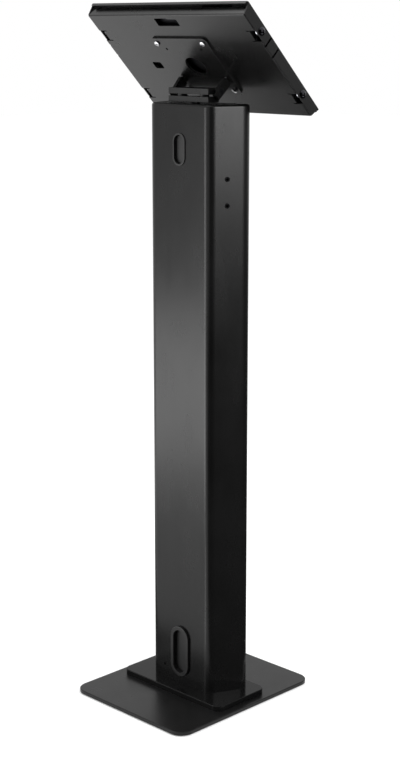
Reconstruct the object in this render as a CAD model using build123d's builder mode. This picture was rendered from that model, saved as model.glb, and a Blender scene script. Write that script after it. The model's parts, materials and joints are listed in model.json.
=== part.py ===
"""Adjustable tablet floor stand, in millimetres.

The origin is the middle of the base on the floor, +Z is up and the user stands at -Y.
The tablet enclosure tilts about X on two arms, and the whole head swivels about Z on the column.
"""
from build123d import *
import os
from math import atan2, cos, degrees, hypot, radians, sin

os.makedirs("parts", exist_ok=True)

# Layout
tablet_tilt = 45.0
column_forward = 7.0
swivel_forward = 1.5
head_forward = 11.0
cut_overrun = 1.0
weld_gap = 0.1
thread_gap = 0.05
hole_gap = 0.3
bearing_gap = 0.05
running_gap = 0.2

# Base plate and rubber pads
base_width = 258.0
base_depth = 310.0
base_thickness = 6.0
base_corner_radius = 23.0
base_edge_bevel = 1.0
pad_diameter = 24.0
pad_thickness = 2.0
pad_edge_round = 0.6
pad_inset = 30.0

# Foot plate and the screws that hold it from below
foot_width = 230.0
foot_depth = 114.0
foot_thickness = 9.0
foot_corner_radius = 15.0
foot_edge_round = 1.2
foot_screw_diameter = 6.0
foot_screw_head = 11.5
foot_screw_length = 13.0
foot_screw_inset = 14.0
foot_screw_columns = 3
foot_screw_tip_gap = 1.0

# Column
column_back_width = 131.0
column_front_width = 199.0
column_depth = 74.0
column_height = 961.0
column_wall = 2.0
column_top_thickness = 3.0
column_corner_radius = 17.0
column_top_radius = 4.0
end_plate_thickness = 8.0
column_bolt_diameter = 8.0
column_bolt_head = 15.5
column_bolt_length = 22.0
column_bolt_spread = 92.0
column_bolt_pitch = 36.0

# Ports in the column's back
upper_port_drop = 70.0
upper_port_length = 51.0
upper_port_width = 27.0
upper_port_band = 3.0
upper_port_proud = 1.6
upper_port_sleeve = 1.2
lower_port_height = 57.0
lower_port_length = 88.0
lower_port_width = 41.0
lower_port_band = 6.5
lower_port_proud = 4.0
lower_port_sleeve = 1.6
port_sleeve_depth = 8.0
port_plug_recess = 3.5
port_plug_thickness = 2.0
port_edge_round = 0.8
earth_hole_diameter = 5.0
earth_hole_side = 38.0
earth_hole_height = 23.0

# Threaded inserts in the column's -X side
insert_along = 30.0
insert_drop = 113.0
insert_pitch = 41.0
insert_flange_diameter = 8.0
insert_flange_thickness = 0.8
insert_barrel_diameter = 6.0
insert_barrel_length = 9.0
insert_bore = 4.2

# Swivel
stiffener_width = 110.0
stiffener_depth = 50.0
stiffener_thickness = 5.0
stiffener_corner_radius = 6.0
swivel_disc_diameter = 22.0
swivel_disc_thickness = 2.0
swivel_bolt_diameter = 10.0
swivel_bolt_head = 17.0
swivel_bolt_head_height = 4.0
swivel_thread_length = 14.0
spring_washer_diameter = 20.0
spring_washer_thickness = 1.1
spring_washer_dish = 0.5
spring_washer_count = 2
swivel_nut_across = 17.0
swivel_nut_height = 8.0
swivel_nut_collar = 2.5
swivel_nut_taper = 30.0

# Head blocks
block_length = 88.0
lower_block_depth = 24.0
upper_block_depth = 34.0
lower_block_height = 8.7
upper_block_height = 9.3
block_gap = 3.3
block_edge_round = 0.6
block_screw_spread = 48.0
block_screw_diameter = 5.0
block_screw_head = 8.5
block_screw_head_height = 5.0
block_screw_length = 13.0
spacer_diameter = 15.0

# Tilt pivots and arms
arm_thickness = 6.5
arm_width = 18.0
arm_end_width = 12.4
arm_past_pivot = 13.0
arm_end_radius = 5.5
arm_edge_round = 1.2
pivot_to_plate = 23.4
pivot_shoulder = 7.5
pivot_thread = 6.0
pivot_thread_length = 13.0
pivot_head = 10.5
pivot_head_height = 2.6
tilt_washer_diameter = 14.0
tilt_washer_thickness = 0.6
tilt_washer_gap = 0.1
arm_screw_diameter = 4.0
arm_screw_head = 7.0
arm_screw_length = 12.0
arm_screw_pitch = 9.0

# VESA plate
plate_size = 120.0
plate_thickness = 3.0
plate_corner_radius = 8.0
plate_rise = 28.8
vesa_pitch = 100.0
pilot_pitch = 75.0
pilot_diameter = 4.5
cable_hole_diameter = 38.5
vesa_screw_diameter = 5.0
vesa_screw_head = 9.2
vesa_screw_head_height = 3.2
vesa_screw_length = 10.0
vesa_nut_diameter = 9.0
vesa_nut_height = 3.0

# Rear pan of the enclosure
pan_width = 340.5
pan_height = 213.0
pan_depth = 18.5
pan_sheet = 1.5
pan_bend_radius = 2.0
pan_corner_radius = 1.9
camera_slot_width = 47.0
camera_slot_height = 16.0
camera_slot_margin = 7.1
camera_slot_step = 2.0
camera_slot_step_side = 5.0
camera_slot_radius = 2.5
cable_slot_width = 19.5
cable_slot_height = 14.0
cable_slot_inset = 81.5
cable_slot_drop = 2.3
cable_slot_radius = 3.0
lance_length = 22.5
lance_reach = 18.0
lance_window = 11.5
lance_slot = 2.0
lance_lug_depth = 6.0
side_slit_width = 3.5
upper_slit_rise = 41.0
lower_slit_rise = 18.5
vent_count = 5
vent_pitch = 5.0
vent_width = 2.6
vent_depth = 3.2
vent_end_inset = 4.5
button_notch_width = 62.0
button_notch_depth = 4.0
button_notch_inset = 64.0
button_catch_width = 4.0
button_catch_depth = 7.5

# Front bezel
bezel_sheet = 1.5
bezel_gap = 0.2
bezel_overhang = 7.0
bezel_lip = 5.0
bezel_corner_radius = 3.0
bezel_edge_round = 0.5
screen_side_border = 10.0
screen_end_border = 10.0
window_radius = 4.0
bezel_tab_length = 20.0
bezel_tab_gap = 0.2
bezel_tab_depth = 13.8
camera_hole_diameter = 5.0

# Security screws
lock_upper_rise = 62.7
lock_lower_drop = 68.3
lock_depth = 10.0
lock_screw_diameter = 6.0
lock_screw_head = 13.0
lock_screw_head_height = 4.4
lock_screw_rim = 0.8
lock_screw_length = 9.0
lock_socket_across = 4.0
lock_pin_diameter = 1.6
lock_nut_diameter = 11.0
lock_nut_height = 4.0

# Tablet and the moulded blocks that hold it
tablet_side_margin = 25.0
tablet_end_margin = 11.25
tablet_thickness = 7.5
tablet_corner_radius = 9.0
tablet_edge_round = 2.0
tablet_glass_thickness = 0.8
tablet_glass_inset = 1.0
tablet_glass_gap = 0.05
corner_block_length = 42.0
corner_block_thickness = 12.0
corner_block_round = 3.0
tablet_gap = 0.3
back_block_length = 60.0
back_block_width = 14.0
back_block_radius = 3.5
back_block_inset = 47.0
back_block_drop = 27.0
gasket_width = 5.0
gasket_thickness = 2.5
gasket_margin = 2.0

# Shares used by the small fasteners
socket_depth_share = 0.6
socket_width_share = 0.55
chamfer_share = 0.12

# Heights and planes worked out from the sizes above
base_top = pad_thickness + base_thickness
foot_top = base_top + foot_thickness
column_top = foot_top + column_height
column_y = -column_forward
swivel_y = -swivel_forward
head_y = -head_forward
column_back_y = column_y + column_depth / 2
column_front_y = column_y - column_depth / 2
disc_top = column_top + swivel_disc_thickness
lower_block_z = disc_top + running_gap
lower_block_top = lower_block_z + lower_block_height
upper_block_z = lower_block_top + block_gap
upper_block_top = upper_block_z + upper_block_height
pivot_z = upper_block_z + upper_block_height / 2
under_base = Plane(origin=(0, 0, pad_thickness), x_dir=(1, 0, 0), z_dir=(0, 0, -1))
back_face = Plane(origin=(0, column_back_y, foot_top), x_dir=(-1, 0, 0), z_dir=(0, 1, 0))

# Frame of the tilting parts: X across, Y up the slope, Z out to the user
slope_up = (0, cos(radians(tablet_tilt)), sin(radians(tablet_tilt)))
slope_out = (0, -sin(radians(tablet_tilt)), cos(radians(tablet_tilt)))
tilt_frame = Plane(origin=(0, head_y, pivot_z), x_dir=(1, 0, 0), z_dir=slope_out)
plate_back = pivot_to_plate
pan_back = plate_back + plate_thickness
pan_inner = pan_back + pan_sheet
pan_front = pan_back + pan_depth
bezel_back = pan_front + bezel_gap
arm_inner = block_length / 2 + tilt_washer_thickness + 2 * tilt_washer_gap
lock_rises = (plate_rise + lock_upper_rise, plate_rise - lock_lower_drop)
out_axis = Axis(tilt_frame.origin, tilt_frame.z_dir)


def slope_plane(x, rise, out, direction):
    """Plane at a place of the tilt frame that looks along one of its directions."""
    origin = tilt_frame.from_local_coords(Vector(x, rise, out))
    x_dir = slope_up if direction[0] else (1, 0, 0)
    return Plane(origin=origin, x_dir=x_dir, z_dir=direction)


def outline(points, radius):
    """Closed outline with every corner rounded."""
    with BuildSketch() as shape:
        with BuildLine():
            Polyline(*points, close=True)
        make_face()
        fillet(shape.vertices(), radius)
    return shape.sketch


def inset_outline(shape, amount):
    """The same outline, moved inwards."""
    with BuildSketch() as smaller:
        add(shape)
        offset(amount=-amount, mode=Mode.REPLACE)
    return smaller.sketch


def turned(points):
    """Solid of revolution about Z from an outline in X and Z."""
    with BuildPart() as body:
        with BuildSketch(Plane.XZ):
            with BuildLine():
                Polyline(*points, close=True)
            make_face()
        revolve(axis=Axis.Z)
    return body.part


def with_socket(body, across, depth, top):
    """Cuts a hexagon socket into the top of a screw."""
    with BuildPart() as screw:
        add(body)
        with BuildSketch(Plane.XY.offset(top)):
            RegularPolygon(across / 2, 6, major_radius=False)
        extrude(amount=-depth, mode=Mode.SUBTRACT)
    return screw.part


def flat_screw(diameter, head, length):
    """Countersunk screw, its flat top at zero and its tip below."""
    cone = (head - diameter) / 2
    tip = diameter * chamfer_share
    points = [(0, 0), (head / 2, 0), (diameter / 2, -cone), (diameter / 2, tip - length)]
    points += [(diameter / 2 - tip, -length), (0, -length)]
    return with_socket(turned(points), diameter * socket_width_share, cone * socket_depth_share, 0)


def cap_screw(diameter, head, head_height, length):
    """Socket cap screw, its head standing on zero."""
    edge = head_height * chamfer_share
    points = [(0, head_height), (head / 2 - edge, head_height), (head / 2, head_height - edge), (head / 2, 0)]
    points += [(diameter / 2, 0), (diameter / 2, -length), (0, -length)]
    return with_socket(turned(points), diameter, head_height * socket_depth_share, head_height)


def dome_screw(diameter, head, head_height, rim, length):
    """Round-headed screw, its head standing on zero."""
    with BuildPart() as screw:
        with BuildSketch(Plane.XZ):
            with BuildLine():
                crown = TangentArc((0, head_height), (head / 2, rim), tangent=(1, 0))
                shank = [(head / 2, 0), (diameter / 2, 0), (diameter / 2, -length), (0, -length)]
                Polyline(crown @ 1, *shank, crown @ 0)
            make_face()
        revolve(axis=Axis.Z)
    return screw.part


def ring(outer, inner, height):
    """Plain washer standing on zero."""
    with BuildPart() as washer:
        Cylinder(outer / 2, height, align=(Align.CENTER, Align.CENTER, Align.MIN))
        Cylinder(inner / 2, height, align=(Align.CENTER, Align.CENTER, Align.MIN), mode=Mode.SUBTRACT)
    return washer.part


def save(piece, name):
    """Labels a finished piece and writes its STEP file."""
    piece.part.label = name
    export_step(piece.part, "parts/" + name + ".step")


# Outlines of the column and places of the screws
column_corners = [
    (-column_back_width / 2, column_back_y),
    (column_back_width / 2, column_back_y),
    (column_front_width / 2, column_front_y),
    (-column_front_width / 2, column_front_y),
]
column_outer = outline(column_corners, column_corner_radius)
column_inner = inset_outline(column_outer, column_wall)
foot_screw_spread = foot_width - 2 * foot_screw_inset
foot_screw_pitch = foot_depth - 2 * foot_screw_inset
column_bolt = flat_screw(column_bolt_diameter, column_bolt_head, column_bolt_length)
foot_screw = flat_screw(foot_screw_diameter, foot_screw_head, foot_screw_length)
screw_hole = foot_screw_diameter / 2 + hole_gap
bolt_hole = column_bolt_diameter / 2 + hole_gap


def foot_screw_places():
    """The foot screws, in two rows."""
    pitch = foot_screw_spread / (foot_screw_columns - 1)
    return GridLocations(pitch, foot_screw_pitch, foot_screw_columns, 2)


def column_bolt_places():
    """The four bolts up into the column."""
    return GridLocations(column_bolt_spread, column_bolt_pitch, 2, 2)


# Base plate, countersunk from below
with BuildPart() as base_plate:
    with BuildSketch(Plane.XY.offset(pad_thickness)):
        RectangleRounded(base_width, base_depth, base_corner_radius)
    extrude(amount=base_thickness)
    chamfer(base_plate.faces().sort_by(Axis.Z)[-1].edges(), base_edge_bevel)
    with Locations(under_base):
        with foot_screw_places():
            CounterSinkHole(screw_hole, foot_screw_head / 2 + hole_gap, base_thickness)
        with Locations((0, column_forward)):
            with column_bolt_places():
                CounterSinkHole(bolt_hole, column_bolt_head / 2 + hole_gap, base_thickness)
save(base_plate, "base_plate")

# Rubber pads glued under the four corners
with BuildPart() as rubber_pads:
    with BuildSketch():
        with GridLocations(base_width - 2 * pad_inset, base_depth - 2 * pad_inset, 2, 2):
            Circle(pad_diameter / 2)
    extrude(amount=pad_thickness)
    fillet(rubber_pads.faces().group_by(Axis.Z)[0].edges(), pad_edge_round)
save(rubber_pads, "rubber_pads")

# Foot plate, tapped blind from below and drilled through for the column bolts
with BuildPart() as foot_plate:
    with BuildSketch(Plane.XY.offset(base_top)):
        RectangleRounded(foot_width, foot_depth, foot_corner_radius)
    extrude(amount=foot_thickness)
    fillet(foot_plate.faces().sort_by(Axis.Z)[-1].edges(), foot_edge_round)
    with Locations(under_base.offset(-base_thickness)):
        with foot_screw_places():
            Hole(foot_screw_diameter / 2 + thread_gap, foot_screw_length - base_thickness + foot_screw_tip_gap)
        with Locations((0, column_forward)):
            with column_bolt_places():
                Hole(bolt_hole, foot_thickness)
save(foot_plate, "foot_plate")

with BuildPart() as foot_screws:
    with Locations(under_base):
        with foot_screw_places():
            add(foot_screw)
save(foot_screws, "foot_screws")

with BuildPart() as column_bolts:
    with Locations(under_base):
        with Locations((0, column_forward)):
            with column_bolt_places():
                add(column_bolt)
save(column_bolts, "column_bolts")

# Column: a welded sheet-metal shell with flared sides, a closed top and an open bottom
upper_port_height = column_height - upper_port_drop
side_run = (column_front_width - column_back_width) / 2
side_length = hypot(side_run, column_depth)
side_normal = (-column_depth / side_length, side_run / side_length, 0)
side_along = (-side_run / side_length, -column_depth / side_length, 0)
side_face = Plane(origin=(-column_back_width / 2, column_back_y, foot_top), x_dir=side_along, z_dir=side_normal)
insert_height = column_height - insert_drop
insert_spots = [(insert_along, insert_height), (insert_along, insert_height - insert_pitch)]
wall_cut = column_wall + cut_overrun
swivel_hole = swivel_bolt_diameter / 2 + bearing_gap


def sleeve_slot(length, width, band, sleeve):
    """Outer size of the sleeve that goes through the column's wall."""
    return length - 2 * band + 2 * sleeve, width - 2 * band + 2 * sleeve


upper_sleeve = sleeve_slot(upper_port_length, upper_port_width, upper_port_band, upper_port_sleeve)
lower_sleeve = sleeve_slot(lower_port_length, lower_port_width, lower_port_band, lower_port_sleeve)

with BuildPart() as column:
    with BuildSketch(Plane.XY.offset(foot_top)):
        add(column_outer)
    extrude(amount=column_height)
    fillet(column.faces().sort_by(Axis.Z)[-1].edges(), column_top_radius)
    with BuildSketch(Plane.XY.offset(foot_top)):
        add(column_inner)
    extrude(amount=column_height - column_top_thickness, mode=Mode.SUBTRACT)
    with BuildSketch(back_face):
        with Locations((0, upper_port_height)):
            SlotOverall(upper_sleeve[0] + 2 * weld_gap, upper_sleeve[1] + 2 * weld_gap, rotation=90)
        with Locations((0, lower_port_height)):
            SlotOverall(lower_sleeve[0] + 2 * weld_gap, lower_sleeve[1] + 2 * weld_gap, rotation=90)
        with Locations((-earth_hole_side, earth_hole_height)):
            Circle(earth_hole_diameter / 2)
    extrude(amount=-wall_cut, mode=Mode.SUBTRACT)
    with BuildSketch(side_face):
        with Locations(*insert_spots):
            Circle(insert_barrel_diameter / 2 + weld_gap)
    extrude(amount=-wall_cut, mode=Mode.SUBTRACT)
    with Locations((0, swivel_y, column_top)):
        Hole(swivel_hole, column_top_thickness + cut_overrun)
save(column, "column")

# End plate welded inside the column's foot, tapped for the column bolts
with BuildPart() as column_end_plate:
    with BuildSketch(Plane.XY.offset(foot_top)):
        add(inset_outline(column_inner, weld_gap))
        with Locations((0, column_y)):
            with column_bolt_places():
                Circle(column_bolt_diameter / 2 + thread_gap, mode=Mode.SUBTRACT)
    extrude(amount=end_plate_thickness)
save(column_end_plate, "column_end_plate")


def port_collar(height, length, width, band, proud, sleeve):
    """Moulded oval collar: a rounded band outside the wall and a sleeve through it."""
    with BuildPart() as collar:
        with BuildSketch(back_face):
            with Locations((0, height)):
                SlotOverall(length, width, rotation=90)
        extrude(amount=proud)
        fillet(collar.faces().sort_by(Axis.Y)[-1].edges(), port_edge_round)
        sleeve_length, sleeve_width = sleeve_slot(length, width, band, sleeve)
        with BuildSketch(back_face):
            with Locations((0, height)):
                SlotOverall(sleeve_length, sleeve_width, rotation=90)
        extrude(amount=-port_sleeve_depth)
        with BuildSketch(back_face.offset(proud)):
            with Locations((0, height)):
                SlotOverall(length - 2 * band, width - 2 * band, rotation=90)
        extrude(amount=-(proud + port_sleeve_depth), mode=Mode.SUBTRACT)
    return collar


def port_plug(height, length, width, band):
    """Flat blanking plug pressed into the collar's sleeve."""
    with BuildPart() as plug:
        with BuildSketch(back_face.offset(-port_plug_recess)):
            with Locations((0, height)):
                SlotOverall(length - 2 * band - 2 * weld_gap, width - 2 * band - 2 * weld_gap, rotation=90)
        extrude(amount=-port_plug_thickness)
        fillet(plug.faces().sort_by(Axis.Y)[-1].edges(), port_edge_round)
    return plug


save(port_collar(upper_port_height, upper_port_length, upper_port_width, upper_port_band, upper_port_proud,
                 upper_port_sleeve), "upper_port_collar")
save(port_collar(lower_port_height, lower_port_length, lower_port_width, lower_port_band, lower_port_proud,
                 lower_port_sleeve), "lower_port_collar")
save(port_plug(upper_port_height, upper_port_length, upper_port_width, upper_port_band), "upper_port_plug")
save(port_plug(lower_port_height, lower_port_length, lower_port_width, lower_port_band), "lower_port_plug")

# Threaded inserts for an accessory on the column's side
insert_body = turned([
    (insert_bore / 2, insert_flange_thickness),
    (insert_flange_diameter / 2, insert_flange_thickness),
    (insert_flange_diameter / 2, 0),
    (insert_barrel_diameter / 2, 0),
    (insert_barrel_diameter / 2, -insert_barrel_length),
    (insert_bore / 2, -insert_barrel_length),
])
with BuildPart() as side_inserts:
    with Locations(side_face):
        with Locations(*insert_spots):
            add(insert_body)
save(side_inserts, "side_inserts")

# Stiffener welded under the column's top
stiffener_top = column_top - column_top_thickness
with BuildPart() as head_stiffener:
    with BuildSketch(Plane.XY.offset(stiffener_top)):
        with Locations((0, swivel_y)):
            RectangleRounded(stiffener_width, stiffener_depth, stiffener_corner_radius)
            Circle(swivel_hole, mode=Mode.SUBTRACT)
    extrude(amount=-stiffener_thickness)
save(head_stiffener, "head_stiffener")

# Swivel disc fixed on the column's top
with BuildPart() as swivel_disc:
    with Locations((0, swivel_y, column_top)):
        add(ring(swivel_disc_diameter, 2 * swivel_hole, swivel_disc_thickness))
save(swivel_disc, "swivel_disc")

# Lower block, counterbored for the swivel bolt and tapped for the block screws
head_axis = Plane(origin=(0, swivel_y, 0))
upper_block_shift = (lower_block_depth - upper_block_depth) / 2
block_screw_seat = upper_block_top - block_screw_head_height
swivel_seat = lower_block_top - swivel_bolt_head_height
block_tap_depth = block_screw_length - (block_screw_seat - lower_block_top) + thread_gap


def block_screw_places():
    """The two screws that join the head blocks."""
    return GridLocations(block_screw_spread, lower_block_depth, 2, 1)


with BuildPart() as lower_block:
    with BuildSketch(head_axis.offset(lower_block_z)):
        Rectangle(block_length, lower_block_depth)
    extrude(amount=lower_block_height)
    fillet(lower_block.edges(), block_edge_round)
    with Locations((0, swivel_y, lower_block_top)):
        CounterBoreHole(swivel_bolt_diameter / 2 + thread_gap, swivel_bolt_head / 2 + hole_gap,
                        swivel_bolt_head_height, lower_block_height)
    with Locations(head_axis.offset(lower_block_top)):
        with block_screw_places():
            Hole(block_screw_diameter / 2 + thread_gap, block_tap_depth)
save(lower_block, "lower_block")

with BuildPart() as block_spacers:
    with Locations(head_axis.offset(lower_block_top)):
        with block_screw_places():
            add(ring(spacer_diameter, block_screw_diameter + 2 * hole_gap, block_gap))
save(block_spacers, "block_spacers")

# Upper block, with the tapped ends that carry the tilt pivots
with BuildPart() as upper_block:
    with BuildSketch(head_axis.offset(upper_block_z)):
        with Locations((0, upper_block_shift)):
            Rectangle(block_length, upper_block_depth)
    extrude(amount=upper_block_height)
    fillet(upper_block.edges(), block_edge_round)
    with Locations(head_axis.offset(upper_block_top)):
        with block_screw_places():
            CounterBoreHole(block_screw_diameter / 2 + hole_gap, block_screw_head / 2 + hole_gap,
                            block_screw_head_height, upper_block_height)
    for side in (-1, 1):
        with Locations(slope_plane(side * block_length / 2, 0, 0, (side, 0, 0))):
            Hole(pivot_thread / 2 + thread_gap, pivot_thread_length + thread_gap)
save(upper_block, "upper_block")

with BuildPart() as block_screws:
    with Locations(head_axis.offset(block_screw_seat)):
        with block_screw_places():
            add(cap_screw(block_screw_diameter, block_screw_head, block_screw_head_height, block_screw_length))
save(block_screws, "block_screws")

# Swivel bolt, sprung by two dished washers and held by a locknut inside the column
washer_top = stiffener_top - stiffener_thickness - running_gap
washer_stack = spring_washer_count * (spring_washer_thickness + spring_washer_dish)
nut_top = washer_top - washer_stack
swivel_bolt_length = swivel_seat - nut_top + swivel_thread_length
with BuildPart() as swivel_bolt:
    with Locations((0, swivel_y, swivel_seat)):
        add(cap_screw(swivel_bolt_diameter, swivel_bolt_head, swivel_bolt_head_height, swivel_bolt_length))
save(swivel_bolt, "swivel_bolt")

dish_radius = swivel_bolt_diameter / 2 + hole_gap
washer_rim = spring_washer_diameter / 2
spring_washer = turned([
    (dish_radius, 0),
    (washer_rim, -spring_washer_dish),
    (washer_rim, -spring_washer_dish - spring_washer_thickness),
    (dish_radius, -spring_washer_thickness),
])
with BuildPart() as spring_washers:
    for index in range(spring_washer_count):
        with Locations((0, swivel_y, washer_top - index * (spring_washer_thickness + spring_washer_dish))):
            add(spring_washer)
save(spring_washers, "spring_washers")

with BuildPart() as swivel_nut:
    with BuildSketch(head_axis.offset(nut_top)):
        RegularPolygon(swivel_nut_across / 2, 6, major_radius=False)
    extrude(amount=-swivel_nut_height)
    with BuildSketch(head_axis.offset(nut_top - swivel_nut_height)):
        Circle(swivel_nut_across / 2)
    extrude(amount=-swivel_nut_collar, taper=swivel_nut_taper)
    with BuildSketch(head_axis.offset(nut_top)):
        Circle(swivel_bolt_diameter / 2 + thread_gap)
    extrude(amount=-(swivel_nut_height + swivel_nut_collar), mode=Mode.SUBTRACT)
save(swivel_nut, "swivel_nut")

# Tilt pivots: shoulder screws into the ends of the upper block, heads flush in the arms
shoulder_length = arm_inner + arm_thickness - pivot_head_height - block_length / 2
pivot_body = with_socket(turned([
    (0, pivot_head_height),
    (pivot_head / 2, pivot_head_height),
    (pivot_head / 2, 0),
    (pivot_shoulder / 2, 0),
    (pivot_shoulder / 2, -shoulder_length),
    (pivot_thread / 2, -shoulder_length),
    (pivot_thread / 2, -shoulder_length - pivot_thread_length),
    (0, -shoulder_length - pivot_thread_length),
]), pivot_thread * socket_width_share, pivot_head_height * socket_depth_share, pivot_head_height)
pivot_seat = arm_inner + arm_thickness - pivot_head_height
with BuildPart() as tilt_pivots:
    for side in (-1, 1):
        with Locations(slope_plane(side * pivot_seat, 0, 0, (side, 0, 0))):
            add(pivot_body)
save(tilt_pivots, "tilt_pivots")

with BuildPart() as tilt_washers:
    for side in (-1, 1):
        with Locations(slope_plane(side * (block_length / 2 + tilt_washer_gap), 0, 0, (side, 0, 0))):
            add(ring(tilt_washer_diameter, pivot_shoulder + 2 * bearing_gap, tilt_washer_thickness))
save(tilt_washers, "tilt_washers")

# Tilt arms, screwed to the VESA plate through its front
arm_side = slope_plane(arm_inner, 0, 0, (1, 0, 0))
arm_screw_line = arm_inner + arm_thickness / 2
with BuildPart() as left_arm:
    with BuildSketch(arm_side) as arm_shape:
        with BuildLine():
            Polyline(
                (-arm_width / 2, plate_back), (arm_width / 2, plate_back), (arm_end_width / 2, -arm_past_pivot),
                (-arm_end_width / 2, -arm_past_pivot), close=True)
        make_face()
        fillet(arm_shape.vertices().sort_by(out_axis)[:2], arm_end_radius)
    extrude(amount=arm_thickness)
    fillet(left_arm.faces().sort_by(Axis.X)[-1].edges().sort_by(out_axis)[:-1], arm_edge_round)
    with Locations(arm_side.offset(arm_thickness)):
        CounterBoreHole(pivot_shoulder / 2 + bearing_gap, pivot_head / 2 + hole_gap, pivot_head_height,
                        arm_thickness)
    with Locations(slope_plane(arm_screw_line, 0, plate_back, slope_out)):
        with GridLocations(arm_screw_pitch, arm_screw_pitch, 1, 2):
            Hole(arm_screw_diameter / 2 + thread_gap, arm_screw_length - plate_thickness + hole_gap)
save(left_arm, "left_arm")

with BuildPart() as right_arm:
    add(mirror(left_arm.part, about=Plane.YZ, mode=Mode.PRIVATE))
save(right_arm, "right_arm")

arm_screw_centre = slope_plane(0, 0, pan_back, slope_out)


def arm_screw_places():
    """Two screws into each arm."""
    return GridLocations(2 * arm_screw_line, arm_screw_pitch, 2, 2)


with BuildPart() as arm_screws:
    with Locations(arm_screw_centre):
        with arm_screw_places():
            add(flat_screw(arm_screw_diameter, arm_screw_head, arm_screw_length))
save(arm_screws, "arm_screws")

# VESA plate
plate_centre = slope_plane(0, plate_rise, plate_back, slope_out)
vesa_hole = vesa_screw_diameter / 2 + hole_gap


def vesa_places():
    """The four corners of the large VESA pattern."""
    return GridLocations(vesa_pitch, vesa_pitch, 2, 2)


with BuildPart() as vesa_plate:
    with BuildSketch(plate_centre):
        RectangleRounded(plate_size, plate_size, plate_corner_radius)
        Circle(cable_hole_diameter / 2, mode=Mode.SUBTRACT)
        with GridLocations(pilot_pitch, pilot_pitch, 2, 2):
            Circle(pilot_diameter / 2, mode=Mode.SUBTRACT)
        with vesa_places():
            Circle(vesa_hole, mode=Mode.SUBTRACT)
    extrude(amount=plate_thickness)
    with Locations(arm_screw_centre):
        with arm_screw_places():
            CounterSinkHole(arm_screw_diameter / 2 + hole_gap, arm_screw_head / 2 + hole_gap, plate_thickness)
save(vesa_plate, "vesa_plate")

# VESA screws from behind into nuts pressed in the pan
screw_seat = Plane(origin=plate_centre.origin, x_dir=(1, 0, 0), z_dir=-tilt_frame.z_dir)
with BuildPart() as vesa_screws:
    with Locations(screw_seat):
        with vesa_places():
            add(with_socket(
                dome_screw(vesa_screw_diameter, vesa_screw_head, vesa_screw_head_height,
                           vesa_screw_head_height * socket_depth_share, vesa_screw_length),
                vesa_screw_diameter * socket_width_share, vesa_screw_head_height * socket_depth_share,
                vesa_screw_head_height))
save(vesa_screws, "vesa_screws")

with BuildPart() as vesa_nuts:
    with Locations(slope_plane(0, plate_rise, pan_inner, slope_out)):
        with vesa_places():
            add(ring(vesa_nut_diameter, vesa_screw_diameter + 2 * thread_gap, vesa_nut_height))
save(vesa_nuts, "vesa_nuts")

# Rear pan: folded tray with its slots, lanced tabs, slits, vents and button notch
pan_centre = slope_plane(0, plate_rise, pan_back, slope_out)
cable_slot_side = pan_width / 2 - cable_slot_inset
button_notch_side = pan_width / 2 - button_notch_inset
pan_top = slope_plane(0, plate_rise + pan_height / 2, pan_back, slope_up)
through_sheet = pan_sheet + cut_overrun
lance_edge = pan_width / 2 - lance_window
lug_length = lance_length - 2 * lance_slot
lock_offsets = (lock_upper_rise, -lock_lower_drop)
slit_centre_rises = (upper_slit_rise, lower_slit_rise)
flange_end = pan_height / 2 + bezel_overhang - bezel_corner_radius

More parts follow.
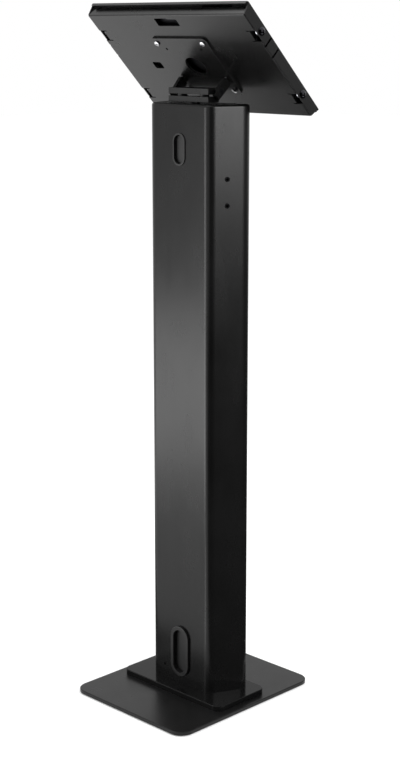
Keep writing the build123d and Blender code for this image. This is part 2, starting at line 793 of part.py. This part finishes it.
with BuildPart() as rear_pan:
    with BuildSketch(pan_centre):
        RectangleRounded(pan_width, pan_height, pan_corner_radius)
    extrude(amount=pan_depth)
    fillet(rear_pan.faces().sort_by(out_axis)[0].edges(), pan_bend_radius)
    offset(amount=-pan_sheet, openings=rear_pan.faces().sort_by(out_axis)[-1])
    for side in (-1, 1):
        with BuildSketch(slope_plane(side * pan_width / 2, plate_rise, pan_back, (side, 0, 0))):
            with BuildLine():
                Polyline(
                    (-pan_height / 2, side * pan_bend_radius), (pan_height / 2, side * pan_bend_radius),
                    (flange_end, side * pan_depth), (-flange_end, side * pan_depth), close=True)
            make_face()
        extrude(amount=-pan_sheet)
    with BuildSketch(pan_centre):
        Circle(cable_hole_diameter / 2)
        with vesa_places():
            Circle(vesa_hole)
        with Locations((cable_slot_side, -cable_slot_drop)):
            RectangleRounded(cable_slot_width, cable_slot_height, cable_slot_radius)
    extrude(amount=through_sheet, mode=Mode.SUBTRACT)
    slot_base = pan_height / 2 - camera_slot_margin - camera_slot_height
    slot_low_height = camera_slot_height - camera_slot_step
    slot_high_width = camera_slot_width / 2 + camera_slot_step_side
    with BuildSketch(pan_centre):
        with Locations((0, slot_base + slot_low_height / 2)):
            RectangleRounded(camera_slot_width, slot_low_height, camera_slot_radius)
        with Locations(((camera_slot_width - slot_high_width) / 2, slot_base + camera_slot_height / 2)):
            RectangleRounded(slot_high_width, camera_slot_height, camera_slot_radius)
    extrude(amount=through_sheet, mode=Mode.SUBTRACT)
    with BuildSketch(pan_centre):
        for side in (-1, 1):
            for rise in lock_offsets:
                with Locations((side * (lance_edge + (lance_window + cut_overrun) / 2), rise)):
                    Rectangle(lance_window + cut_overrun, lance_length)
                with Locations((side * (lance_edge - (lance_reach - lance_window) / 2), rise)):
                    with GridLocations(lance_reach, lance_length - lance_slot, 1, 2):
                        Rectangle(lance_reach - lance_window, lance_slot)
    extrude(amount=pan_bend_radius, mode=Mode.SUBTRACT)
    with BuildSketch(pan_centre):
        for side in (-1, 1):
            for rise in lock_offsets:
                with Locations((side * (lance_edge - pan_sheet / 2), rise)):
                    Rectangle(pan_sheet, lug_length)
    extrude(amount=pan_sheet + lance_lug_depth)
    for side in (-1, 1):
        with BuildSketch(slope_plane(side * pan_width / 2, plate_rise, pan_back, (side, 0, 0))):
            for rise in slit_centre_rises:
                with Locations((rise, side * (pan_depth + cut_overrun) / 2)):
                    Rectangle(side_slit_width, pan_depth + cut_overrun)
            for rise in lock_offsets:
                with Locations((rise, side * lock_depth)):
                    Circle(lock_screw_diameter / 2 + hole_gap)
        extrude(amount=-through_sheet, mode=Mode.SUBTRACT)
    with BuildSketch(pan_top):
        vent_run = (vent_count - 1) * vent_pitch
        vent_middle = pan_width / 2 - vent_end_inset - vent_run / 2
        for side in (-1, 1):
            with Locations((side * vent_middle, -pan_depth)):
                with GridLocations(vent_pitch, vent_pitch, vent_count, 1):
                    SlotOverall(2 * vent_depth, vent_width, rotation=90)
        with Locations((-button_notch_side, -pan_depth)):
            Rectangle(button_notch_width, 2 * button_notch_depth)
        with Locations((button_notch_width / 2 - button_notch_side, -pan_depth)):
            Rectangle(button_catch_width, 2 * button_catch_depth)
    extrude(amount=-through_sheet, mode=Mode.SUBTRACT)
save(rear_pan, "rear_pan")

# Front bezel: window frame with returned lips and the tabs that take the security screws
bezel_plane = slope_plane(0, plate_rise, bezel_back, slope_out)
bezel_height = pan_height + 2 * bezel_overhang
tablet_width = pan_width - 2 * (pan_sheet + tablet_side_margin)
tablet_height = pan_height - 2 * (pan_sheet + tablet_end_margin)
window_width = tablet_width - 2 * screen_side_border
window_height = tablet_height - 2 * screen_end_border
camera_rise = (tablet_height - screen_end_border) / 2
tab_side = pan_width / 2 - pan_sheet - bezel_tab_gap - bezel_sheet / 2
with BuildPart() as front_bezel:
    with BuildSketch(bezel_plane):
        RectangleRounded(pan_width, bezel_height, bezel_corner_radius)
    extrude(amount=bezel_sheet)
    with BuildSketch(bezel_plane):
        with GridLocations(pan_width, bezel_height - bezel_sheet, 1, 2):
            Rectangle(pan_width - 2 * bezel_corner_radius, bezel_sheet)
    extrude(amount=-(bezel_lip - bezel_sheet))
    fillet(front_bezel.faces().sort_by(out_axis)[-1].edges(), bezel_edge_round)
    with BuildSketch(bezel_plane):
        for side in (-1, 1):
            for rise in lock_offsets:
                with Locations((side * tab_side, rise)):
                    Rectangle(bezel_sheet, bezel_tab_length)
    extrude(amount=-bezel_tab_depth)
    with BuildSketch(bezel_plane):
        RectangleRounded(window_width, window_height, window_radius)
        with Locations((0, camera_rise)):
            Circle(camera_hole_diameter / 2)
    extrude(amount=bezel_sheet, mode=Mode.SUBTRACT)
    for side in (-1, 1):
        tab_face = slope_plane(side * (tab_side + bezel_sheet / 2), plate_rise, pan_back, (side, 0, 0))
        with BuildSketch(tab_face):
            for rise in lock_offsets:
                with Locations((rise, side * lock_depth)):
                    Circle(lock_screw_diameter / 2 + hole_gap)
        extrude(amount=-bezel_sheet, mode=Mode.SUBTRACT)
save(front_bezel, "front_bezel")

# Security screws in the side walls and their nuts on the bezel's tabs
lock_body = dome_screw(lock_screw_diameter, lock_screw_head, lock_screw_head_height, lock_screw_rim,
                       lock_screw_length)
lock_socket = with_socket(lock_body, lock_socket_across, lock_screw_head_height * socket_depth_share,
                          lock_screw_head_height)
lock_pin_height = lock_screw_head_height * socket_depth_share
with BuildPart() as lock_screw:
    add(lock_socket)
    with Locations((0, 0, lock_screw_head_height - lock_pin_height)):
        Cylinder(lock_pin_diameter / 2, lock_pin_height, align=(Align.CENTER, Align.CENTER, Align.MIN))

with BuildPart() as security_screws:
    for side in (-1, 1):
        for rise in lock_rises:
            with Locations(slope_plane(side * pan_width / 2, rise, pan_back + lock_depth, (side, 0, 0))):
                add(lock_screw.part)
save(security_screws, "security_screws")

nut_side = tab_side - bezel_sheet / 2
with BuildPart() as lock_nuts:
    for side in (-1, 1):
        for rise in lock_rises:
            with Locations(slope_plane(side * nut_side, rise, pan_back + lock_depth, (-side, 0, 0))):
                add(ring(lock_nut_diameter, lock_screw_diameter + 2 * thread_gap, lock_nut_height))
save(lock_nuts, "lock_nuts")

# Tablet: a flat rounded body with its glass let into the front
tablet_front = bezel_back - gasket_thickness - tablet_gap
tablet_back = tablet_front - tablet_thickness
glass_width = tablet_width - 2 * tablet_glass_inset
glass_height = tablet_height - 2 * tablet_glass_inset
glass_radius = tablet_corner_radius - tablet_glass_inset
tablet_face = slope_plane(0, plate_rise, tablet_front, slope_out)
with BuildPart() as tablet_body:
    with BuildSketch(slope_plane(0, plate_rise, tablet_back, slope_out)):
        RectangleRounded(tablet_width, tablet_height, tablet_corner_radius)
    extrude(amount=tablet_thickness)
    fillet(tablet_body.faces().sort_by(out_axis)[0].edges(), tablet_edge_round)
    with BuildSketch(tablet_face):
        RectangleRounded(glass_width + 2 * tablet_glass_gap, glass_height + 2 * tablet_glass_gap,
                         glass_radius + tablet_glass_gap)
    extrude(amount=-tablet_glass_thickness, mode=Mode.SUBTRACT)
save(tablet_body, "tablet_body")

with BuildPart() as tablet_glass:
    with BuildSketch(tablet_face):
        RectangleRounded(glass_width, glass_height, glass_radius)
    extrude(amount=-tablet_glass_thickness)
save(tablet_glass, "tablet_glass")

# Moulded blocks that hold the tablet: corner blocks, back blocks and the gasket behind the window
inner_centre = slope_plane(0, plate_rise, pan_inner, slope_out)
block_room = tablet_front - pan_inner
pocket_side = tablet_width / 2 + tablet_gap
pocket_end = tablet_height / 2 + tablet_gap
with BuildPart() as corner_blocks:
    with BuildSketch(inner_centre) as blocks_shape:
        Rectangle(2 * (pocket_side + corner_block_thickness), pan_height - 2 * pan_bend_radius)
        Rectangle(2 * pocket_side, 2 * pocket_end, mode=Mode.SUBTRACT)
        Rectangle(2 * (pocket_side - corner_block_length), pan_height, mode=Mode.SUBTRACT)
        Rectangle(pan_width, 2 * (pocket_end - corner_block_length), mode=Mode.SUBTRACT)
        fillet(blocks_shape.vertices(), corner_block_round)
    extrude(amount=block_room)
save(corner_blocks, "corner_blocks")

with BuildPart() as back_blocks:
    with BuildSketch(inner_centre):
        with GridLocations(tablet_width - 2 * back_block_inset, tablet_height - 2 * back_block_drop, 2, 2):
            RectangleRounded(back_block_length, back_block_width, back_block_radius)
    extrude(amount=tablet_back - tablet_gap - pan_inner)
save(back_blocks, "back_blocks")

with BuildPart() as screen_gasket:
    with BuildSketch(bezel_plane):
        outer_width = window_width + 2 * (gasket_margin + gasket_width)
        outer_height = window_height + 2 * (gasket_margin + gasket_width)
        RectangleRounded(outer_width, outer_height, window_radius)
        RectangleRounded(window_width + 2 * gasket_margin, window_height + 2 * gasket_margin, window_radius,
                         mode=Mode.SUBTRACT)
        with Locations((0, camera_rise)):
            Circle(camera_hole_diameter / 2 + hole_gap, mode=Mode.SUBTRACT)
    extrude(amount=-gasket_thickness)
save(screen_gasket, "screen_gasket")
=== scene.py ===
"""Looks of the adjustable tablet floor stand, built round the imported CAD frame, in metres."""

import json
import math

import bpy
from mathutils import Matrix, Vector

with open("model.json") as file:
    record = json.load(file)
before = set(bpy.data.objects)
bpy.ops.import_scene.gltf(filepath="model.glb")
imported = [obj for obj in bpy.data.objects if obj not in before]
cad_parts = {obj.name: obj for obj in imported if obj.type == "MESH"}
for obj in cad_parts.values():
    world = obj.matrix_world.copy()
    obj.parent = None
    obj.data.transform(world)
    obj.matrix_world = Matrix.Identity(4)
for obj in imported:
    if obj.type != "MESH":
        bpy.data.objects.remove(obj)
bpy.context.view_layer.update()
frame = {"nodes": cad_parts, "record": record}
scene = bpy.context.scene
nodes = frame["nodes"]

# Camera fitted to the photograph
CAMERA_PLACE = (-1.72935, 1.71777, 1.09195)
CAMERA_YAW = math.radians(44.93)
CAMERA_PITCH = math.radians(12.96)
IMAGE_HEIGHT = 765
FOCAL_PIXELS = 1540
SENSOR = 36.0

# Floor and surroundings
WHITE = (1, 1, 1, 1)
WORLD_STRENGTH = 1.0
FLOOR_HALF = 14.0
FLOOR_SHADE = 0.8
FLOOR_ROUGHNESS = 0.9
FLOOR_GLOW = 0.22

# Dark cards; those on the floor lie just above it and end just outside the base plate
CARD_HEIGHT = 0.004
CARD_SIDE = 0.14
CARD_FRONT = -0.17
CARD_FAR = -6.5
SIDE_CARD_DENSITY = 0.5
FADE_DENSITY = 0.85
FADE_START = 0.6
FADE_END = 1.32

# Most of a noise texture lies between these values
NOISE_LOW = 0.3
NOISE_HIGH = 0.7

# Lighter edges, partly worn paint and partly a painted highlight: the radius they are rounded by, and the
# cosines between the rounded and the true normal at which the lightening is full and at which there is none
EDGE_WIDTH = 0.0008
EDGE_FULL = 0.72
EDGE_NONE = 0.97

# Depths of the bumps, in metres
PEEL_DEPTH = 0.0004
DUST_DEPTH = 0.00015
GRAIN_DEPTH = 0.0002
PORE_DEPTH = 0.0003
MARK_DEPTH = 0.0001
RIPPLE_DEPTH = 0.0002

camera_data = bpy.data.cameras.new("camera")
camera_data.sensor_fit = "VERTICAL"
camera_data.sensor_height = SENSOR
camera_data.lens = SENSOR * FOCAL_PIXELS / IMAGE_HEIGHT
camera = bpy.data.objects.new("camera", camera_data)
camera.location = CAMERA_PLACE
look = Vector((
    math.sin(CAMERA_YAW) * math.cos(CAMERA_PITCH),
    -math.cos(CAMERA_YAW) * math.cos(CAMERA_PITCH),
    -math.sin(CAMERA_PITCH),
))
camera.rotation_euler = look.to_track_quat("-Z", "Y").to_euler()
scene.collection.objects.link(camera)
scene.camera = camera
scene.view_settings.view_transform = "Standard"

world = bpy.data.worlds.new("studio")
world.use_nodes = True
world.node_tree.nodes["Background"].inputs["Color"].default_value = WHITE
world.node_tree.nodes["Background"].inputs["Strength"].default_value = WORLD_STRENGTH
scene.world = world


def link(tree, source, target):
    """Joins two sockets."""
    tree.links.new(source, target)


def lamp(name, place, target, size, radiance, only_gloss=False):
    """Soft rectangular lamp aimed at a point; some light only what mirrors them."""
    data = bpy.data.lights.new(name, "AREA")
    data.shape = "RECTANGLE"
    data.size, data.size_y = size
    data.energy = radiance * math.pi * size[0] * size[1]
    light = bpy.data.objects.new(name, data)
    light.location = place
    aim = Vector(target) - Vector(place)
    light.rotation_euler = aim.to_track_quat("-Z", "Y").to_euler()
    light.visible_camera = False
    light.visible_diffuse = not only_gloss
    scene.collection.objects.link(light)
    return light


def leave_out(light, names):
    """Keeps a lamp's light off some pieces."""
    receivers = bpy.data.collections.new(light.name + "_left_out")
    for name in names:
        receivers.objects.link(nodes[name])
    for row in receivers.collection_objects:
        row.light_linking.link_state = "EXCLUDE"
    light.light_linking.receiver_collection = receivers


def plain_material(name, shade, roughness, glow=0.0):
    """Simple grey material for the stage."""
    material = bpy.data.materials.new(name)
    material.use_nodes = True
    shader = material.node_tree.nodes["Principled BSDF"]
    shader.inputs["Base Color"].default_value = (shade, shade, shade, 1)
    shader.inputs["Roughness"].default_value = roughness
    shader.inputs["Emission Color"].default_value = WHITE
    shader.inputs["Emission Strength"].default_value = glow
    return material


def flat_panel(name, corners, material):
    """Flat four-sided sheet of the studio."""
    mesh = bpy.data.meshes.new(name)
    mesh.from_pydata(corners, [], [(0, 1, 2, 3)])
    mesh.materials.append(material)
    panel = bpy.data.objects.new(name, mesh)
    scene.collection.objects.link(panel)
    return panel


def level(low, high, height):
    """Corners of a level rectangle."""
    return [(low[0], low[1], height), (high[0], low[1], height), (high[0], high[1], height),
            (low[0], high[1], height)]


def upright(first, second, bottom, top):
    """Corners of an upright rectangle between two points of the floor plan."""
    return [(*first, bottom), (*second, bottom), (*second, top), (*first, top)]


def dark_flag(name, corners, density=1.0):
    """Black card or gauze that shows only in what mirrors it, as hung beside glossy things."""
    material = plain_material(name, shade=0, roughness=1.0)
    material.node_tree.nodes["Principled BSDF"].inputs["Alpha"].default_value = density
    flag = flat_panel(name, corners, material)
    flag.visible_camera = False
    flag.visible_diffuse = False
    flag.visible_shadow = False
    flag.visible_transmission = False
    return flag


def fading_flag(name, corners, density, start, end):
    """Dark card that thins out to nothing along X."""
    tree = dark_flag(name, corners, density).data.materials[0].node_tree
    place = tree.nodes.new("ShaderNodeTexCoord")
    split = tree.nodes.new("ShaderNodeSeparateXYZ")
    fade = tree.nodes.new("ShaderNodeMapRange")
    fade.interpolation_type = "SMOOTHSTEP"
    fade.inputs["From Min"].default_value = start
    fade.inputs["From Max"].default_value = end
    fade.inputs["To Min"].default_value = density
    fade.inputs["To Max"].default_value = 0.0
    link(tree, place.outputs["Object"], split.inputs["Vector"])
    link(tree, split.outputs["X"], fade.inputs["Value"])
    link(tree, fade.outputs["Result"], tree.nodes["Principled BSDF"].inputs["Alpha"])


flat_panel("floor", level((-FLOOR_HALF, -FLOOR_HALF), (FLOOR_HALF, FLOOR_HALF), 0.0),
           plain_material("floor_white", FLOOR_SHADE, FLOOR_ROUGHNESS, FLOOR_GLOW))
dark_flag("flag_floor", level((-9.0, CARD_FAR), (-CARD_SIDE, 4.0), CARD_HEIGHT))
dark_flag("flag_front", level((-CARD_SIDE, CARD_FAR), (0.3, CARD_FRONT), CARD_HEIGHT))
dark_flag("flag_side", upright((-0.92, -1.87), (-1.8, -1.05), bottom=0.3, top=1.6), SIDE_CARD_DENSITY)
fading_flag("flag_fade", level((CARD_SIDE, -0.5), (1.36, 0.2), CARD_HEIGHT), FADE_DENSITY, FADE_START,
            FADE_END)
# Stands just behind the camera
dark_flag("flag_back", upright((-2.9, 0.7), (-0.9, 2.6), bottom=0.0, top=3.2))

lamp("lamp_top", place=(0.4, 0.2, 3.4), target=(0, 0, 0.3), size=(2.4, 2.4), radiance=1.8)
# Mirrored in the upper part of the column's -X side; of the part's pieces it lights only the column
side_light = lamp("lamp_side", place=(-2.7, 0.2, 1.5), target=(0, 0.05, 1.0), size=(1.5, 1.7), radiance=8.0)
# Mirrored in the middle of the column's back
lamp("lamp_low", place=(0.95, 0.98, 0.22), target=(0, 0.03, 0.52), size=(0.8, 0.4), radiance=4.0,
     only_gloss=True)
# Both mirrored in the rounded edge between the column's back and its -X side, the second one low down
lamp("lamp_edge", place=(0.44, 0.93, 0.51), target=(0, 0.03, 0.6), size=(0.26, 1.0), radiance=5.6,
     only_gloss=True)
lamp("lamp_line", place=(0.056, 0.304, 0.07), target=(-0.066, 0.03, 0.33), size=(0.05, 0.22), radiance=4.0,
     only_gloss=True)
# Stands where the pan's -X fold mirrors the floor, and faces away from the column
lamp("lamp_fold", place=(-1.05, -0.4, 0.13), target=(-1.55, -0.4, 1.0), size=(0.9, 0.5), radiance=5.0,
     only_gloss=True)
leave_out(side_light, [name for name in nodes if name != "column"])


def noise(tree, place, scale, detail=3.0, roughness=0.5, stretch=(1, 1, 1)):
    """Noise in object space, stretched along an axis where asked."""
    fit = tree.nodes.new("ShaderNodeMapping")
    fit.inputs["Scale"].default_value = stretch
    link(tree, place.outputs["Object"], fit.inputs["Vector"])
    node = tree.nodes.new("ShaderNodeTexNoise")
    node.inputs["Scale"].default_value = scale
    node.inputs["Detail"].default_value = detail
    node.inputs["Roughness"].default_value = roughness
    link(tree, fit.outputs["Vector"], node.inputs["Vector"])
    return node.outputs["Fac"]


def spread(tree, value, low, high, from_low=NOISE_LOW, from_high=NOISE_HIGH):
    """Maps a value to a range."""
    node = tree.nodes.new("ShaderNodeMapRange")
    node.inputs["From Min"].default_value = from_low
    node.inputs["From Max"].default_value = from_high
    node.inputs["To Min"].default_value = low
    node.inputs["To Max"].default_value = high
    link(tree, value, node.inputs["Value"])
    return node.outputs["Result"]


def mottle(tree, value, colour, darker, lighter, from_low=NOISE_LOW, from_high=NOISE_HIGH):
    """Colour that drifts between a darker and a lighter share of itself."""
    ramp = tree.nodes.new("ShaderNodeValToRGB")
    ramp.color_ramp.elements[0].position = from_low
    ramp.color_ramp.elements[1].position = from_high
    ramp.color_ramp.elements[0].color = (*(part * darker for part in colour), 1)
    ramp.color_ramp.elements[1].color = (*(min(1.0, part * lighter) for part in colour), 1)
    link(tree, value, ramp.inputs["Fac"])
    return ramp.outputs["Color"]


def relief(tree, shader, rows):
    """Chain of bumps from (height, strength, distance) rows."""
    normal = None
    for height, strength, distance in rows:
        node = tree.nodes.new("ShaderNodeBump")
        node.inputs["Strength"].default_value = strength
        node.inputs["Distance"].default_value = distance
        link(tree, height, node.inputs["Height"])
        if normal is not None:
            link(tree, normal, node.inputs["Normal"])
        normal = node.outputs["Normal"]
    link(tree, normal, shader.inputs["Normal"])


def edge_mask(tree, width):
    """One along sharp edges and nothing on the flats."""
    bevel = tree.nodes.new("ShaderNodeBevel")
    bevel.samples = 4
    bevel.inputs["Radius"].default_value = width
    geometry = tree.nodes.new("ShaderNodeNewGeometry")
    product = tree.nodes.new("ShaderNodeVectorMath")
    product.operation = "DOT_PRODUCT"
    link(tree, bevel.outputs["Normal"], product.inputs[0])
    link(tree, geometry.outputs["Normal"], product.inputs[1])
    return spread(tree, product.outputs["Value"], 1.0, 0.0, EDGE_FULL, EDGE_NONE)


def blank(name, metallic, specular):
    """New material with its node tree, its shader and a source of object coordinates."""
    material = bpy.data.materials.new(name)
    material.use_nodes = True
    shader = material.node_tree.nodes["Principled BSDF"]
    shader.inputs["Metallic"].default_value = metallic
    shader.inputs["Specular IOR Level"].default_value = specular
    place = material.node_tree.nodes.new("ShaderNodeTexCoord")
    return material, material.node_tree, shader, place


def grey(shade):
    return shade, shade, shade


def powder_coat(name, shade, roughness, specular, peel=0.05, wear_and_glint=0.02):
    """Black powder coat: orange peel, dust-fine grain, slow drifts of sheen and edges painted lighter,
    partly as worn paint and partly as a painted highlight.
    """
    material, tree, shader, place = blank(name, metallic=0.0, specular=specular)
    drift = noise(tree, place, scale=7.0, detail=4.0)
    smudge = noise(tree, place, scale=26.0, detail=5.0, roughness=0.6, stretch=(1, 1, 0.35))
    orange_peel = noise(tree, place, scale=420.0, detail=2.0)
    dust = noise(tree, place, scale=1500.0, detail=2.0)
    mixed = tree.nodes.new("ShaderNodeMix")
    mixed.data_type = "RGBA"
    # Sharp edges are painted lighter: partly worn paint, partly a painted highlight along edges and folds.
    mixed.inputs["B"].default_value = (wear_and_glint, wear_and_glint, wear_and_glint * 1.02, 1)
    link(tree, mottle(tree, drift, grey(shade), darker=0.75, lighter=1.3), mixed.inputs["A"])
    link(tree, edge_mask(tree, EDGE_WIDTH), mixed.inputs["Factor"])
    link(tree, mixed.outputs["Result"], shader.inputs["Base Color"])
    link(tree, spread(tree, smudge, roughness * 0.88, roughness * 1.12), shader.inputs["Roughness"])
    relief(tree, shader, [(orange_peel, peel, PEEL_DEPTH), (dust, peel, DUST_DEPTH)])
    return material


def moulding(name, shade, roughness, specular=0.35):
    """Moulded plastic with a spark-eroded grain."""
    material, tree, shader, place = blank(name, metallic=0.0, specular=specular)
    drift = noise(tree, place, scale=12.0, detail=4.0)
    grain = noise(tree, place, scale=1900.0, detail=3.0, roughness=0.7)
    link(tree, mottle(tree, drift, grey(shade), darker=0.8, lighter=1.25), shader.inputs["Base Color"])
    link(tree, spread(tree, drift, roughness * 0.9, roughness * 1.12), shader.inputs["Roughness"])
    relief(tree, shader, [(grain, 0.12, GRAIN_DEPTH)])
    return material


def rubber(name, shade):
    """Dull rubber with fine pores."""
    material, tree, shader, place = blank(name, metallic=0.0, specular=0.3)
    pores = noise(tree, place, scale=900.0, detail=4.0, roughness=0.7)
    link(tree, mottle(tree, pores, grey(shade), darker=0.7, lighter=1.4, from_low=0.35, from_high=0.65),
         shader.inputs["Base Color"])
    link(tree, spread(tree, pores, low=0.7, high=0.9), shader.inputs["Roughness"])
    relief(tree, shader, [(pores, 0.3, PORE_DEPTH)])
    return material


def metal(name, colour, roughness, grain=(1, 1, 1), brushed=0.06):
    """Plated or bare metal with fine machining marks and a cloudy sheen."""
    material, tree, shader, place = blank(name, metallic=1.0, specular=0.5)
    marks = noise(tree, place, scale=1100.0, detail=3.0, roughness=0.6, stretch=grain)
    cloud = noise(tree, place, scale=140.0, detail=4.0)
    link(tree, mottle(tree, cloud, colour, darker=0.86, lighter=1.08), shader.inputs["Base Color"])
    link(tree, spread(tree, marks, roughness * 0.8, roughness * 1.25), shader.inputs["Roughness"])
    relief(tree, shader, [(marks, brushed, MARK_DEPTH)])
    return material


def glass_front(name, shade):
    """Black tablet glass with faint smears."""
    material, tree, shader, place = blank(name, metallic=0.0, specular=0.5)
    smear = noise(tree, place, scale=30.0, detail=5.0, roughness=0.6, stretch=(1, 2.5, 1))
    ripple = noise(tree, place, scale=60.0, detail=2.0)
    link(tree, mottle(tree, smear, grey(shade), darker=1.0, lighter=1.6, from_low=0.35, from_high=0.7),
         shader.inputs["Base Color"])
    link(tree, spread(tree, smear, low=0.04, high=0.1), shader.inputs["Roughness"])
    relief(tree, shader, [(ripple, 0.01, RIPPLE_DEPTH)])
    return material


finishes = {
    "black_paint": powder_coat("column_coat", shade=0.003, roughness=0.26, specular=0.24),
    "gloss_black_paint": powder_coat("foot_coat", shade=0.006, roughness=0.12, specular=0.09, peel=0.02),
    "black_rubber": rubber("pad_rubber", shade=0.012),
    "black_plastic": moulding("moulded_plastic", shade=0.004, roughness=0.4),
    "zinc": metal("zinc_plate", (0.62, 0.63, 0.66), roughness=0.3),
    "bare_steel": metal("mill_steel", (0.4, 0.4, 0.41), roughness=0.4, grain=(1, 6, 1), brushed=0.1),
    "bright_steel": metal("bright_zinc", (0.6, 0.6, 0.62), roughness=0.24, brushed=0.03),
    "dark_steel": metal("dark_chrome", (0.05, 0.05, 0.055), roughness=0.16, brushed=0.03),
    "tablet_grey": metal("tablet_shell", (0.05, 0.05, 0.055), roughness=0.38, brushed=0.05),
    "screen_glass": glass_front("tablet_glass_black", shade=0.0025),
}

# Pieces whose finish differs from the rest of their slot
# This coat, also used on the bezel, plate and arms, has its edges painted lighter still: a painted
# highlight along the folds.
pan_coat = powder_coat("pan_coat", shade=0.003, roughness=0.25, specular=0.45, peel=0.03, wear_and_glint=0.05)
base_coat = powder_coat("base_coat", shade=0.007, roughness=0.3, specular=0.19)
insert_black = metal("black_oxide", (0.03, 0.03, 0.032), roughness=0.4)
block_coat = powder_coat("block_coat", shade=0.003, roughness=0.3, specular=0.36, peel=0.03)
own_finish = {"base_plate": base_coat, "side_inserts": insert_black, "lower_block": block_coat,
              "upper_block": block_coat}
for name in ("rear_pan", "front_bezel", "vesa_plate", "left_arm", "right_arm"):
    own_finish[name] = pan_coat

slots = {part["node"]: part["material_slot"] for part in frame["record"]["subparts"]}
for name, piece in nodes.items():
    piece.data.materials.clear()
    piece.data.materials.append(own_finish.get(name, finishes[slots[name]]))
